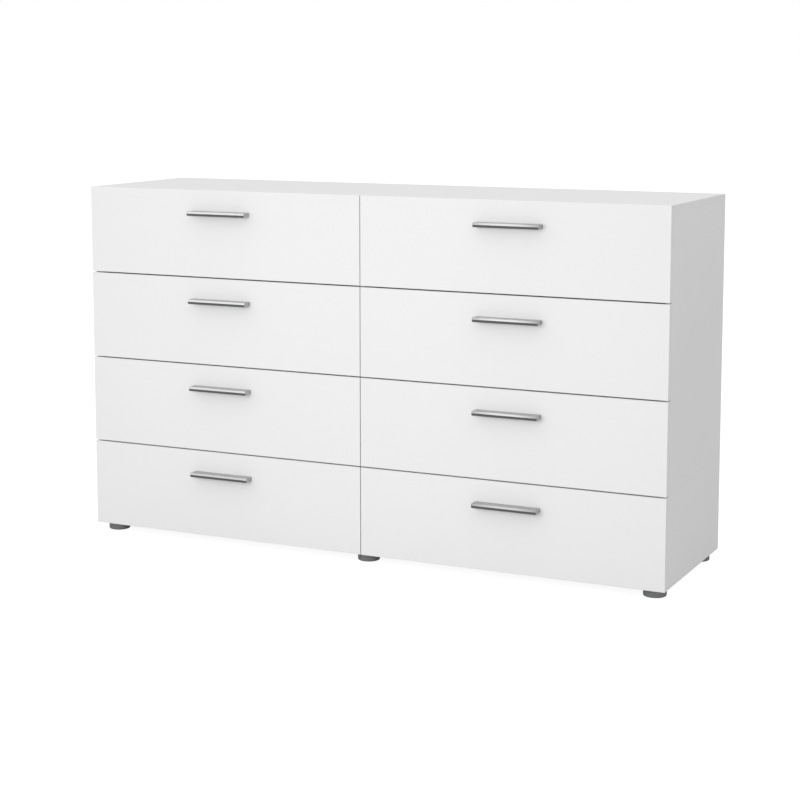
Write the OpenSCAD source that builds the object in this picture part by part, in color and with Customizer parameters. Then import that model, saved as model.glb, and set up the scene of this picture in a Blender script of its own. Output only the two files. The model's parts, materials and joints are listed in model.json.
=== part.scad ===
// Wide dresser on six low round feet, with two columns of four equal drawers.
// The drawer fronts cover the whole face of the carcass. Each drawer runs on a pair
// of steel roller runners and has one straight ledge handle.
//
// Frame: +Z up, -Y is the front, X = 0 is the middle of the width. The origin is at
// floor level, below the middle of the overall width and depth.

/* [Carcass] */
// Overall width of the carcass
body_w = 1418; // [1200:2:1600]
// Height of the carcass, from the lower edge of the bottom fronts to the top face
body_h = 808; // [780:1:900]
// Depth from the face of the drawer fronts to the back
body_d = 402; // [396:1:480]
// Thickness of the carcass boards
panel_t = 16; // [15:1:19]
// Thickness of the hardboard back
back_t = 3; // [2.5:0.5:4]
// Distance that the back sheets stay inside the outline of the carcass
back_inset = 2; // [1:0.5:4]

/* [Drawers] */
// Number of drawers in a column
rows = 4; // [4:1:4]
// Thickness of the drawer fronts
front_t = 16; // [15:1:19]
// Gap between a drawer front and the one below it
front_gap = 3; // [2:0.5:4]
// Gap between the two columns of drawer fronts
column_gap = 2; // [1.5:0.5:4]
// Gap between a closed front and the carcass behind it
front_clear = 1.5; // [1:0.5:2.5]
// Height of the drawer box
box_h = 145; // [110:1:155]
// Length of the drawer box, behind its front
box_l = 350; // [350:1:352]
// Thickness of the sides and the back of a drawer box
box_t = 12; // [12:1:13]
// Thickness of the drawer bottom
box_bottom_t = 3; // [3:0.5:4]
// Height of the groove for the drawer bottom above the lower edge of the box
groove_z = 10; // [8:1:14]
// Depth of the groove for the drawer bottom
groove_d = 6; // [4:1:7]

/* [Handles] */
// Length of a handle
handle_l = 150; // [148:1:200]
// Distance that a handle stands out from the drawer front
handle_out = 26; // [24:1:34]
// Height of the lip of a handle
handle_h = 8.5; // [8:0.5:10]
// Distance from the upper edge of a front down to the top of its handle
handle_drop = 48; // [40:1:80]
// Distance between the two screws of a handle
handle_screws = 128; // [96:32:128]

/* [Feet] */
// Diameter of a foot
foot_d = 50; // [40:1:50]
// Height of a foot
foot_h = 20; // [18:1:30]
// Distance from the outer face of a side panel to the centre of a foot
foot_side = 34.5; // [30:0.5:60]
// Distance from the face of the drawer fronts to the centre of a front foot
foot_front = 42.5; // [42.5:0.5:80]
// Distance from the back to the centre of a rear foot
foot_back = 40; // [30:0.5:80]

/* [Runners] */
// Length of a runner
runner_l = 350; // [350:1:350]
// Space on each side of a drawer box for the runners
runner_gap = 12.5; // [12.5:0.1:13]
// Height of the runner's lower lip above the lower edge of the front
runner_z = 20; // [20:1:24]
// Thickness of the runner steel
steel_t = 1.2; // [1:0.1:1.2]
// Diameter of a roller
roller_d = 21; // [20:0.5:21]
// Width of a roller
roller_w = 8; // [7:0.5:8]

/* [Hidden] */
$fn = 64;
COLUMNS = ["left", "right"];
SIDES = [-1, 1];

// Levels and depths
top_z = foot_h + body_h;
front_y = -(body_d + handle_out) / 2 + handle_out;
back_y = front_y + body_d;
carcass_y = front_y + front_t + front_clear;
carcass_d = back_y - back_t - carcass_y;
inner_w = body_w - 2 * panel_t;
bay_w = (inner_w - panel_t) / 2;
bay_x = (bay_w + panel_t) / 2;

// Drawer fronts and boxes
front_w = (body_w - column_gap) / 2;
front_h = (body_h - (rows - 1) * front_gap) / rows;
front_x = (front_w + column_gap) / 2;
box_y = front_y + front_t;
box_w = bay_w - 2 * runner_gap;
box_lift = 4;
box_back_drop = 5;
// Hairline left between boards that are glued or screwed together
joint_line = 0.1;

// Runners: the drawer's flange rides on the front roller, its rear roller on the lip
roller_r = roller_d / 2;
front_roller_z = roller_r + 0.5;
rear_roller_z = roller_r + 0.3;
flange_z = front_roller_z + roller_r + 0.3;
top_lip_z = flange_z + steel_t + 0.4;
runner_setback = 2;
front_roller_y = carcass_y + runner_setback + 14;
rear_roller_y = box_y + runner_l - 15;
top_lip_start = 40;
lip_w = 9.7;
top_lip_w = 7.8;
flange_w = 8.1;
travel = 260;
stop_t = 3;
stop_h = 4;
stop_y = rear_roller_y - travel - roller_r - 0.6;
axle_d = 5;
axle_l = 8.9;
axle_head_d = 8;
axle_head_t = 0.6;
axle_recess_d = 9;
axle_recess_t = 1;
roller_clear = 0.05;
roller_gap = 0.4;

// Handles: a ledge with a sloping lip, hollow underneath
handle_top_t = 2.5;
lip_t = 3.5;
lip_ridge = 4.8;
lip_lean = 1.2;
lip_chamfer = 2.5;
cheek_t = 3.5;
cheek_drop = 1.5;
boss_d = 7;
boss_z = 5.5;
handle_screw_d = 4;
handle_screw_in = 16;
handle_hole_d = 5;
screw_head_d = 8;
screw_head_t = 2.5;

// Feet and their screws
foot_front_y = front_y + foot_front;
foot_back_y = back_y - foot_back;
foot_edge = 2;
foot_bore_d = 12;
foot_bore_h = 12;
foot_screw_d = 4;
foot_screw_in = 12;
foot_head_d = 9;
foot_head_t = 3;

// Cam locks that hold the boards together
cam_d = 15;
cam_t = 12.5;
cam_edge = 34;
cam_bolt_d = 6;
cam_bolt_in = 10;
cam_bolt_start = 1;
cam_slot = [1.6, 8, 1.5];
cam_front_y = carcass_y + 40;
cam_back_y = back_y - back_t - 60;

CARCASS = ["top_panel", "bottom_panel", "left_side_panel", "right_side_panel",
           "centre_partition", "left_back_sheet", "right_back_sheet", "feet",
           "foot_screws", "cam_fittings", "left_cabinet_runners",
           "right_cabinet_runners"];
PIECES = ["front", "box", "handle", "runners", "cabinet_rollers", "box_rollers"];

BOARD = "#f1f0ee";
HARDBOARD = "#8d725c";
ALLOY = "#a9aaab";
STEEL = "#eceae6";
ZINC = "#b9bcc0";
NYLON = "#f7f6f0";
FOOT = "#5b5c5e";

// Height of the lower edge of the fronts in a row; row 1 is the top one
function row_z(r) = foot_h + (rows - r) * (front_h + front_gap);

// ---- shared shapes ----

// A box given by its lower and its upper corner
module block(low, high) {
    translate(low) cube(high - low);
}

// A cylinder along X that starts at x and has length l
module rod_x(x, y, z, d, l) {
    translate([x, y, z]) rotate([0, 90, 0]) cylinder(d = d, h = l);
}

// A cylinder along Y that starts at y and has length l
module rod_y(x, y, z, d, l) {
    translate([x, y, z]) rotate([-90, 0, 0]) cylinder(d = d, h = l);
}

// ---- cam locks ----

// One cam, sunk into the face at z = 0 below it, with its bolt along +X. extra widens
// the shape so that it can also cut its own seat.
module cam_lock(extra = 0) {
    difference() {
        translate([0, 0, -cam_t]) cylinder(d = cam_d + extra, h = cam_t + extra);
        if (extra == 0)
            translate([-cam_slot.x / 2, -cam_slot.y / 2, -cam_slot.z])
                cube([cam_slot.x, cam_slot.y, cam_slot.z + 1]);
        if (extra == 0)
            rod_x(0, 0, -panel_t / 2, cam_bolt_d + 0.1, cam_d);
    }
    rod_x(cam_bolt_start, 0, -panel_t / 2, cam_bolt_d + extra,
          cam_edge + cam_bolt_in - cam_bolt_start);
}

// All cam locks of the carcass
module cam_locks(extra = 0) {
    for (y = [cam_front_y, cam_back_y]) {
        for (s = SIDES) {
            // side panels up into the top panel
            translate([s * inner_w / 2, y, top_z - panel_t - cam_edge])
                rotate([0, -90 * s, 0]) rotate([0, 0, s > 0 ? 0 : 180]) cam_lock(extra);
            // bottom panel out into the side panels
            translate([s * (inner_w / 2 - cam_edge), y, foot_h + panel_t])
                rotate([0, 0, s > 0 ? 0 : 180]) cam_lock(extra);
        }
        // centre partition up into the top panel and down into the bottom panel
        translate([panel_t / 2, y, top_z - panel_t - cam_edge])
            rotate([0, 90, 0]) rotate([0, 0, 180]) cam_lock(extra);
        translate([panel_t / 2, y, foot_h + panel_t + cam_edge])
            rotate([0, 90, 0]) cam_lock(extra);
    }
}

module cam_fittings() {
    color(ZINC) cam_locks();
}

// ---- boards of the carcass ----

// A board with the seats of the cam locks and the foot screws cut out of it
module drilled_board(low, high) {
    color(BOARD) difference() {
        block(low, high);
        cam_locks(0.1);
    }
}

module top_panel() {
    drilled_board([-body_w / 2, carcass_y, top_z - panel_t],
                  [body_w / 2, carcass_y + carcass_d, top_z]);
}

module bottom_panel() {
    difference() {
        drilled_board([-inner_w / 2, carcass_y, foot_h],
                      [inner_w / 2, carcass_y + carcass_d, foot_h + panel_t]);
        at_feet() translate([0, 0, foot_h - 1])
            cylinder(d = foot_screw_d + 0.1, h = foot_screw_in + 1);
    }
}

module side_panel(s) {
    x = s > 0 ? inner_w / 2 : -body_w / 2;
    drilled_board([x, carcass_y, foot_h],
                  [x + panel_t, carcass_y + carcass_d, top_z - panel_t]);
}

module centre_partition() {
    drilled_board([-panel_t / 2, carcass_y, foot_h + panel_t],
                  [panel_t / 2, carcass_y + carcass_d, top_z - panel_t]);
}

// Back sheets lie on the rear edges of the boards and meet on the partition
module back_sheet(s) {
    far = body_w / 2 - back_inset;
    near = 1;
    color(HARDBOARD)
        block([s > 0 ? near : -far, back_y - back_t, foot_h + back_inset],
              [s > 0 ? far : -near, back_y, top_z - back_inset]);
}

// ---- feet ----

module at_feet() {
    for (x = [-1, 0, 1] * (body_w / 2 - foot_side), y = [foot_front_y, foot_back_y])
        translate([x, y, 0]) children();
}

module foot() {
    difference() {
        rotate_extrude() polygon([
            [0, 0], [foot_d / 2 - foot_edge, 0], [foot_d / 2, foot_edge],
            [foot_d / 2, foot_h], [0, foot_h]]);
        translate([0, 0, -1]) cylinder(d = foot_bore_d, h = foot_bore_h + 1);
        cylinder(d = foot_screw_d + 0.1, h = foot_h + 1);
    }
}

module foot_screw() {
    translate([0, 0, foot_bore_h - foot_head_t]) cylinder(d = foot_head_d, h = foot_head_t);
    translate([0, 0, foot_bore_h])
        cylinder(d = foot_screw_d, h = foot_h - foot_bore_h + foot_screw_in);
}

module feet() {
    color(FOOT) at_feet() foot();
}

module foot_screws() {
    color(ZINC) at_feet() foot_screw();
}

// ---- runners ----

// Places a left-hand runner at both sides of a bay. x = 0 is the face of the board, +x
// points into the bay, and z = 0 is the upper face of the runner's lower lip.
module both_sides(c, r) {
    for (s = SIDES)
        translate([SIDES[c] * bay_x, 0, row_z(r) + runner_z])
            scale([-s, 1, 1]) translate([-bay_w / 2, 0, 0]) children();
}

// Riveted axle along +x from x0
module axle(x0, y, z) {
    rod_x(x0, y, z, axle_d, axle_l);
    rod_x(x0 + axle_l, y, z, axle_head_d, axle_head_t);
}

module cabinet_runner() {
    y0 = carcass_y + runner_setback;
    y1 = y0 + runner_l;
    block([0, y0, -steel_t], [steel_t, y1, top_lip_z + steel_t]);
    block([0, y0, -steel_t], [steel_t + lip_w, y1, 0]);
    block([0, y0 + top_lip_start, top_lip_z],
          [steel_t + top_lip_w, y1, top_lip_z + steel_t]);
    block([0, stop_y - stop_t, -steel_t], [steel_t + lip_w, stop_y, stop_h]);
    axle(0, front_roller_y, front_roller_z);
}

module cabinet_runners(c) {
    color(STEEL) for (r = [1:rows]) both_sides(c, r) cabinet_runner();
}

// The drawer's member wraps the lower edge of the box side
module drawer_runner() {
    y0 = box_y + runner_setback;
    y1 = box_y + runner_l;
    x1 = runner_gap;
    block([x1 - steel_t, y0, box_lift - steel_t], [x1, y1, flange_z + steel_t]);
    block([x1 - steel_t, y0, box_lift - steel_t], [x1 + box_t, y1, box_lift]);
    block([x1 - steel_t - flange_w, y0, flange_z], [x1, y1, flange_z + steel_t]);
    translate([x1, rear_roller_y, rear_roller_z]) mirror([1, 0, 0]) axle(0, 0, 0);
}

module drawer_runners(c, r) {
    color(STEEL) both_sides(c, r) drawer_runner();
}

// A roller, with a recess for the head of its axle at the upper end
module roller() {
    difference() {
        cylinder(d = roller_d, h = roller_w);
        translate([0, 0, -1])
            cylinder(d = axle_d + 2 * roller_clear, h = roller_w + 2);
        translate([0, 0, roller_w - axle_recess_t])
            cylinder(d = axle_recess_d, h = axle_recess_t + 1);
    }
}

module cabinet_rollers(c, r) {
    color(NYLON) both_sides(c, r)
        translate([steel_t + roller_gap, front_roller_y, front_roller_z])
            rotate([0, 90, 0]) roller();
}

module box_rollers(c, r) {
    color(NYLON) both_sides(c, r)
        translate([runner_gap - steel_t - roller_gap, rear_roller_y, rear_roller_z])
            mirror([1, 0, 0]) rotate([0, 90, 0]) roller();
}

// ---- drawers ----

// Drawer front, with the groove for the drawer bottom and the holes for the handle
module drawer_front(c, r) {
    z = row_z(r);
    bottom_z = z + runner_z + box_lift + groove_z;
    grooved_w = box_w - 2 * box_t + 2 * groove_d;
    color(BOARD) difference() {
        translate([SIDES[c] * front_x - front_w / 2, front_y, z])
            cube([front_w, front_t, front_h]);
        block([SIDES[c] * bay_x - grooved_w / 2, box_y - groove_d, bottom_z - joint_line],
              [SIDES[c] * bay_x + grooved_w / 2, box_y + 1,
               bottom_z + box_bottom_t + joint_line]);
        for (s = SIDES)
            rod_y(SIDES[c] * front_x + s * handle_screws / 2, front_y - 1,
                  z + front_h - handle_drop - boss_z, handle_hole_d, front_t + 2);
    }
}

// Drawer box: two sides, a back and a thin bottom in the grooves, as separate boards
module drawer_box(c, r) {
    x0 = SIDES[c] * bay_x - box_w / 2;
    z0 = row_z(r) + runner_z + box_lift;
    bottom_z = z0 + groove_z;
    color(BOARD) {
        for (x = [x0, x0 + box_w - box_t]) difference() {
            block([x, box_y, z0], [x + box_t, box_y + box_l, z0 + box_h]);
            block([x0 + box_t - groove_d - joint_line, box_y - 1, bottom_z - joint_line],
                  [x0 + box_w - box_t + groove_d + joint_line, box_y + box_l + 1,
                   bottom_z + box_bottom_t + joint_line]);
        }
        block([x0 + box_t + joint_line, box_y + box_l - box_t,
               bottom_z + box_bottom_t + joint_line],
              [x0 + box_w - box_t - joint_line, box_y + box_l, z0 + box_h - box_back_drop]);
        block([x0 + box_t - groove_d + joint_line, box_y - groove_d + joint_line, bottom_z],
              [x0 + box_w - box_t + groove_d - joint_line, box_y + box_l,
               bottom_z + box_bottom_t]);
    }
}

// Sections of the handle are drawn with x as the distance from the drawer front and y as
// the height below the top. The lip has a chamfer, a slope out to its ridge and a slope
// back to its lower edge.
lip_line = [[handle_out - lip_lean - lip_chamfer, 0],
            [handle_out - lip_lean * (1 - lip_chamfer / lip_ridge), -lip_chamfer],
            [handle_out, -lip_ridge], [handle_out - lip_lean, -handle_h]];

// Section of the ledge: a thin top and the lip
module ledge_section() {
    polygon(concat([[0, 0]], lip_line, [
        [handle_out - lip_t, -handle_h], [handle_out - lip_t, -handle_top_t],
        [0, -handle_top_t]]));
}

// Section of an end cheek, a little deeper at the drawer front than at the lip
module cheek_section() {
    polygon(concat([[0, 0]], lip_line, [[0, -handle_h - cheek_drop]]));
}

// Extrudes a section of the handle along X
module along_handle(x, l) {
    translate([x, 0, 0]) rotate([90, 0, -90]) mirror([0, 0, 1])
        linear_extrude(height = l) children();
}

module handle(c, r) {
    z = row_z(r) + front_h - handle_drop;
    translate([SIDES[c] * front_x, front_y, z]) {
        color(ALLOY) difference() {
            union() {
                along_handle(-handle_l / 2, handle_l) ledge_section();
                for (x = [-handle_l / 2, handle_l / 2 - cheek_t])
                    along_handle(x, cheek_t) cheek_section();
                for (s = SIDES)
                    rod_y(s * handle_screws / 2, -handle_out + lip_t, -boss_z, boss_d,
                          handle_out - lip_t);
            }
            for (s = SIDES)
                rod_y(s * handle_screws / 2, -handle_screw_in, -boss_z,
                      handle_screw_d + 0.1, handle_screw_in + 1);
        }
        color(ZINC) for (s = SIDES) {
            rod_y(s * handle_screws / 2, 1 - handle_screw_in, -boss_z, handle_screw_d,
                  handle_screw_in - 1 + front_t);
            rod_y(s * handle_screws / 2, front_t, -boss_z, screw_head_d, screw_head_t);
        }
    }
}

top_panel();
bottom_panel();
side_panel(-1);  // left_side_panel
side_panel(1);  // right_side_panel
centre_partition();
back_sheet(-1);  // left_back_sheet
back_sheet(1);  // right_back_sheet
feet();
foot_screws();
cam_fittings();
for (c = [0, 1]) {
    cabinet_runners(c);
    for (r = [1:rows]) {
        drawer = str(COLUMNS[c], "_drawer_", r, "_");
        drawer_front(c, r);
        drawer_box(c, r);
        handle(c, r);
        drawer_runners(c, r);
        cabinet_rollers(c, r);
        box_rollers(c, r);
    }
}
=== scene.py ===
"""Wide white dresser with two columns of four drawers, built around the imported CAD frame.

The boards, handles, runners, rollers, feet and fittings are modelled in place, in metres, and
each piece rides on the CAD body that it belongs to.
"""
import json
import math
from contextlib import contextmanager

import bmesh
import bpy
from mathutils import Matrix, Vector

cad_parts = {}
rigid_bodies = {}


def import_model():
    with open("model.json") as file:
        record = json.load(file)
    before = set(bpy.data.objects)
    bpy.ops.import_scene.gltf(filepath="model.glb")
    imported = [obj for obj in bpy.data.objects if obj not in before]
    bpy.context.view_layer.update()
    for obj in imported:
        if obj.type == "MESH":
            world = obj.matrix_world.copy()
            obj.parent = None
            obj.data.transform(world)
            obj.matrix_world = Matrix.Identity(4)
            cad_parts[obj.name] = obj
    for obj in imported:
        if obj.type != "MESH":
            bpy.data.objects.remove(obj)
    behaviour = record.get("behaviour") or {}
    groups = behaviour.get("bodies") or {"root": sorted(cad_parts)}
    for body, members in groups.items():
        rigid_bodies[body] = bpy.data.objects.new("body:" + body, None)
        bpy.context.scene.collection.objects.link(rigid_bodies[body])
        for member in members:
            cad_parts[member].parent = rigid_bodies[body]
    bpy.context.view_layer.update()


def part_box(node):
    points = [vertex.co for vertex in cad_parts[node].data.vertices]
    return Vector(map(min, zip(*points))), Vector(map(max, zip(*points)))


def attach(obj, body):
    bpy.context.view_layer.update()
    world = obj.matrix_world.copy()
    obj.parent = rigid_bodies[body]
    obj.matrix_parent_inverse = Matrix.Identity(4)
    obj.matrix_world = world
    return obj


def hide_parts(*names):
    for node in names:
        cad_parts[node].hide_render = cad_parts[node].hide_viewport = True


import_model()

MM = 0.001
COLUMNS = ("left", "right")
ROWS = (1, 2, 3, 4)
X, Y, Z = 0, 1, 2


# ---------------------------------------------------------------- shader helpers

class Wire:
    """A shader value that can be used in a Python expression."""

    def __init__(self, finish, socket):
        self.finish = finish
        self.socket = socket

    def maths(self, operation, first, second):
        return self.finish.add("ShaderNodeMath", {"operation": operation}, {0: first, 1: second})

    def __add__(self, other):
        return self.maths("ADD", self, other)

    def __sub__(self, other):
        return self.maths("SUBTRACT", self, other)

    def __rsub__(self, other):
        return self.maths("SUBTRACT", other, self)

    def __mul__(self, other):
        return self.maths("MULTIPLY", self, other)

    def __gt__(self, other):
        return self.maths("GREATER_THAN", self, other)

    __radd__ = __add__
    __rmul__ = __mul__


class Finish:
    """A material, and the nodes that are added to it."""

    def __init__(self, name, **constants):
        self.material = bpy.data.materials.new(name)
        self.material.use_nodes = True
        self.tree = self.material.node_tree
        self.shader = self.tree.nodes["Principled BSDF"]
        for socket, value in constants.items():
            self.shader.inputs[socket.replace("_", " ")].default_value = value
        self.place = self.add("ShaderNodeTexCoord", output="Object")

    def add(self, kind, settings=None, values=None, output=0):
        """A node of a kind, with its settings and the values or links of its sockets."""
        node = self.tree.nodes.new(kind)
        for key, setting in (settings or {}).items():
            if key == "stops":
                ramp = node.color_ramp
                while len(ramp.elements) < len(setting):
                    ramp.elements.new(1)
                for element, (at, colour) in zip(ramp.elements, setting):
                    element.position = at
                    element.color = (*colour, 1)
            else:
                setattr(node, key, setting)
        for key, value in (values or {}).items():
            if isinstance(value, Wire):
                self.tree.links.new(value.socket, node.inputs[key])
            else:
                node.inputs[key].default_value = value
        return Wire(self, node.outputs[output])

    def stretched(self, scale):
        """The object coordinates, scaled by a different number on each axis."""
        return self.add("ShaderNodeMapping", None, {"Vector": self.place, "Scale": scale})

    def noise(self, scale, detail=3.0, roughness=0.5, place=None):
        return self.add("ShaderNodeTexNoise", None,
                        {"Vector": place or self.place, "Scale": scale, "Detail": detail,
                         "Roughness": roughness})

    def cells(self, scale, output="Distance", place=None):
        return self.add("ShaderNodeTexVoronoi", None,
                        {"Vector": place or self.place, "Scale": scale}, output)

    def ramp(self, factor, *stops):
        return self.add("ShaderNodeValToRGB", {"stops": stops}, {"Fac": factor})

    def mix(self, factor, first, second):
        """Two colours mixed; a colour is a wire or three numbers."""
        first, second = (c if isinstance(c, Wire) else (*c, 1) for c in (first, second))
        return self.add("ShaderNodeMix", {"data_type": "RGBA"},
                        {0: factor, 6: first, 7: second}, output=2)

    def bump(self, height, strength, distance, under=None):
        values = {"Height": height, "Strength": strength, "Distance": distance}
        if under:
            values["Normal"] = under
        return self.add("ShaderNodeBump", None, values)

    def made(self, **wires):
        for socket, wire in wires.items():
            self.tree.links.new(wire.socket, self.shader.inputs[socket.replace("_", " ")])
        return self.material


# ---------------------------------------------------------------- finishes

def white_melamine():
    """The satin faces of the boards: a fine printed pore over a faint wide unevenness."""
    m = Finish("white_melamine", Roughness=0.4, Specular_IOR_Level=0.42)
    wide = m.noise(3.0, 2.0)
    pore = m.noise(900.0, 2.0, 0.6)
    ripple = m.noise(60.0, 2.0)
    tone = m.mix(wide, (0.832, 0.832, 0.832), (0.848, 0.848, 0.848))
    return m.made(Base_Color=m.mix(pore * 0.06, tone, (0.74, 0.74, 0.74)),
                  Roughness=0.34 + wide * 0.05 + pore * 0.09,
                  Normal=m.bump(pore, 0.10, 0.05 * MM, m.bump(ripple, 0.05, 0.2 * MM)))


def edge_band():
    """The banding of the board edges: smoother, with fine lines along it."""
    m = Finish("edge_band", Roughness=0.36, Specular_IOR_Level=0.45)
    lines = m.noise(1.0, 2.0, 0.6, m.stretched((40, 900, 40)))
    wide = m.noise(9.0, 2.0)
    return m.made(Base_Color=m.mix(wide, (0.832, 0.832, 0.832), (0.850, 0.850, 0.850)),
                  Roughness=0.30 + lines * 0.12,
                  Normal=m.bump(lines, 0.06, 0.05 * MM))


def drawer_foil():
    """The printed foil on the drawer boxes: off-white with a faint embossed grain."""
    m = Finish("drawer_foil", Roughness=0.46, Specular_IOR_Level=0.4)
    grain = m.noise(1.0, 4.0, 0.65, m.stretched((420, 22, 420)))
    wide = m.noise(5.0, 2.0)
    tone = m.mix(wide, (0.792, 0.790, 0.784), (0.816, 0.814, 0.809))
    return m.made(Base_Color=m.mix(grain * 0.16, tone, (0.66, 0.657, 0.65)),
                  Roughness=0.40 + grain * 0.14,
                  Normal=m.bump(grain, 0.22, 0.1 * MM))


def raw_chipboard():
    """Unbanded edges and drilled seats: pressed wood chips in several browns."""
    m = Finish("raw_chipboard", Roughness=0.85, Specular_IOR_Level=0.2)
    place = m.stretched((260, 260, 620))
    chips = m.cells(1.0, "Color", place)
    value = m.add("ShaderNodeSeparateColor", None, {"Color": chips})
    fibre = m.noise(1500.0, 3.0, 0.7)
    tone = m.ramp(value, (0.0, (0.33, 0.22, 0.125)), (0.45, (0.50, 0.37, 0.235)),
                  (0.8, (0.62, 0.49, 0.335)), (1.0, (0.70, 0.58, 0.42)))
    gaps = m.cells(1.0, "Distance", place)
    return m.made(Base_Color=m.mix(fibre * 0.35, tone, (0.28, 0.19, 0.11)),
                  Roughness=0.78 + fibre * 0.15,
                  Normal=m.bump(gaps + fibre * 0.4, 0.6, 0.4 * MM))


def painted_hardboard():
    """The white lacquered face of the hardboard: smooth, with the fibres just showing."""
    m = Finish("painted_hardboard", Roughness=0.5, Specular_IOR_Level=0.38)
    fibre = m.noise(1.0, 4.0, 0.7, m.stretched((340, 90, 150)))
    wide = m.noise(4.0, 2.0)
    tone = m.mix(wide, (0.785, 0.778, 0.760), (0.808, 0.802, 0.788))
    return m.made(Base_Color=m.mix(fibre * 0.14, tone, (0.62, 0.60, 0.56)),
                  Roughness=0.42 + fibre * 0.18,
                  Normal=m.bump(fibre, 0.16, 0.1 * MM))


def raw_hardboard():
    """The unpainted back of the hardboard: brown fibres, pressed by a wire screen."""
    m = Finish("raw_hardboard", Roughness=0.72, Specular_IOR_Level=0.28)
    warp = m.add("ShaderNodeTexWave", {"bands_direction": "X"},
                 {"Vector": m.place, "Scale": 150.0, "Distortion": 0.5, "Detail": 1.0})
    weft = m.add("ShaderNodeTexWave", {"bands_direction": "Z"},
                 {"Vector": m.place, "Scale": 150.0, "Distortion": 0.5, "Detail": 1.0})
    screen = warp * weft
    fibre = m.noise(420.0, 5.0, 0.7)
    cloud = m.noise(11.0, 4.0, 0.6)
    fleck = m.noise(1.0, 3.0, 0.6, m.stretched((520, 300, 90)))
    tone = m.ramp(cloud, (0.25, (0.316, 0.209, 0.128)), (0.75, (0.342, 0.230, 0.142)))
    tone = m.mix(fibre * 0.55, tone, (0.215, 0.135, 0.078))
    tone = m.mix((fleck > 0.66) * 0.35, tone, (0.46, 0.34, 0.23))
    return m.made(Base_Color=m.mix(screen * 0.30, tone, (0.20, 0.125, 0.072)),
                  Roughness=0.62 + fibre * 0.2,
                  Normal=m.bump(fibre * 0.5 - screen, 0.5, 0.25 * MM))


def brushed_metal():
    """The satin metal of the handles, brushed along their length."""
    m = Finish("brushed_metal", Metallic=1.0, Roughness=0.32)
    hairs = m.noise(1.0, 4.0, 0.6, m.stretched((14, 2600, 2600)))
    bands = m.noise(1.0, 2.0, 0.5, m.stretched((5, 420, 420)))
    tone = m.mix(hairs, (0.38, 0.382, 0.386), (0.51, 0.512, 0.516))
    return m.made(Base_Color=m.mix(bands * 0.3, tone, (0.35, 0.352, 0.356)),
                  Roughness=0.24 + hairs * 0.16 + bands * 0.05,
                  Normal=m.bump(hairs, 0.10, 0.05 * MM))


def zinc_plate():
    """Screws, cams, bolts and nails: bright zinc with a faint blue and straw haze."""
    m = Finish("zinc_plate", Metallic=1.0, Roughness=0.34)
    haze = m.noise(130.0, 3.0, 0.6)
    grit = m.noise(1400.0, 3.0, 0.6)
    tone = m.ramp(haze, (0.3, (0.55, 0.57, 0.61)), (0.5, (0.66, 0.665, 0.67)),
                  (0.7, (0.67, 0.645, 0.58)))
    return m.made(Base_Color=m.mix(grit * 0.25, tone, (0.42, 0.425, 0.43)),
                  Roughness=0.26 + grit * 0.2,
                  Normal=m.bump(grit, 0.15, 0.08 * MM))


def coated_steel():
    """The white epoxy coat of the runners, with its slight orange peel."""
    m = Finish("coated_steel", Roughness=0.3, Specular_IOR_Level=0.5, Coat_Roughness=0.2)
    peel = m.noise(420.0, 2.0, 0.5)
    wide = m.noise(14.0, 2.0)
    scuff = m.noise(1.0, 4.0, 0.7, m.stretched((700, 12, 700)))
    tone = m.mix(wide, (0.760, 0.750, 0.722), (0.790, 0.782, 0.758))
    return m.made(Base_Color=m.mix((scuff > 0.68) * 0.30, tone, (0.56, 0.55, 0.53)),
                  Roughness=0.22 + peel * 0.14 + (scuff > 0.68) * 0.15,
                  Normal=m.bump(peel, 0.18, 0.12 * MM))


def roller_nylon():
    """Milky nylon, with the fine rings of its mould and a worn, duller tread."""
    m = Finish("roller_nylon", Roughness=0.42, Subsurface_Weight=0.15, Subsurface_Scale=0.002)
    m.shader.inputs["Subsurface Radius"].default_value = (1.0, 0.95, 0.85)
    cloud = m.noise(160.0, 3.0, 0.5)
    rings = m.noise(1.0, 2.0, 0.5, m.stretched((1800, 120, 120)))
    return m.made(Base_Color=m.mix(cloud, (0.765, 0.752, 0.700), (0.820, 0.812, 0.775)),
                  Roughness=0.34 + rings * 0.2,
                  Normal=m.bump(rings, 0.12, 0.08 * MM))


def foot_plastic():
    """Dark grey moulded plastic with a fine spark-eroded texture and dusty high spots."""
    m = Finish("foot_plastic", Roughness=0.55, Specular_IOR_Level=0.5)
    grit = m.noise(1300.0, 3.0, 0.65)
    cloud = m.noise(55.0, 3.0)
    tone = m.mix(cloud, (0.165, 0.167, 0.171), (0.205, 0.207, 0.211))
    return m.made(Base_Color=m.mix(grit * 0.4, tone, (0.28, 0.282, 0.286)),
                  Roughness=0.40 + grit * 0.2,
                  Normal=m.bump(grit, 0.4, 0.15 * MM))


def clear_rubber():
    """The small clear buffers that the closed fronts rest against."""
    m = Finish("clear_rubber", Roughness=0.22, Transmission_Weight=0.35, IOR=1.45)
    cloud = m.noise(600.0, 2.0)
    return m.made(Base_Color=m.mix(cloud, (0.74, 0.74, 0.73), (0.84, 0.84, 0.83)),
                  Roughness=0.18 + cloud * 0.14,
                  Normal=m.bump(cloud, 0.1, 0.1 * MM))


MELAMINE = white_melamine()
BAND = edge_band()
FOIL = drawer_foil()
CHIPS = raw_chipboard()
LACQUER = painted_hardboard()
BROWN = raw_hardboard()
METAL = brushed_metal()
ZINC = zinc_plate()
COAT = coated_steel()
NYLON = roller_nylon()
PLASTIC = foot_plastic()
RUBBER = clear_rubber()


# ---------------------------------------------------------------- modelling helpers

def only(*pieces):
    """Selects these pieces and nothing else; the first one is the active one."""
    bpy.ops.object.select_all(action="DESELECT")
    for piece in pieces:
        piece.select_set(True)
    if pieces:
        bpy.context.view_layer.objects.active = pieces[0]


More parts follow.
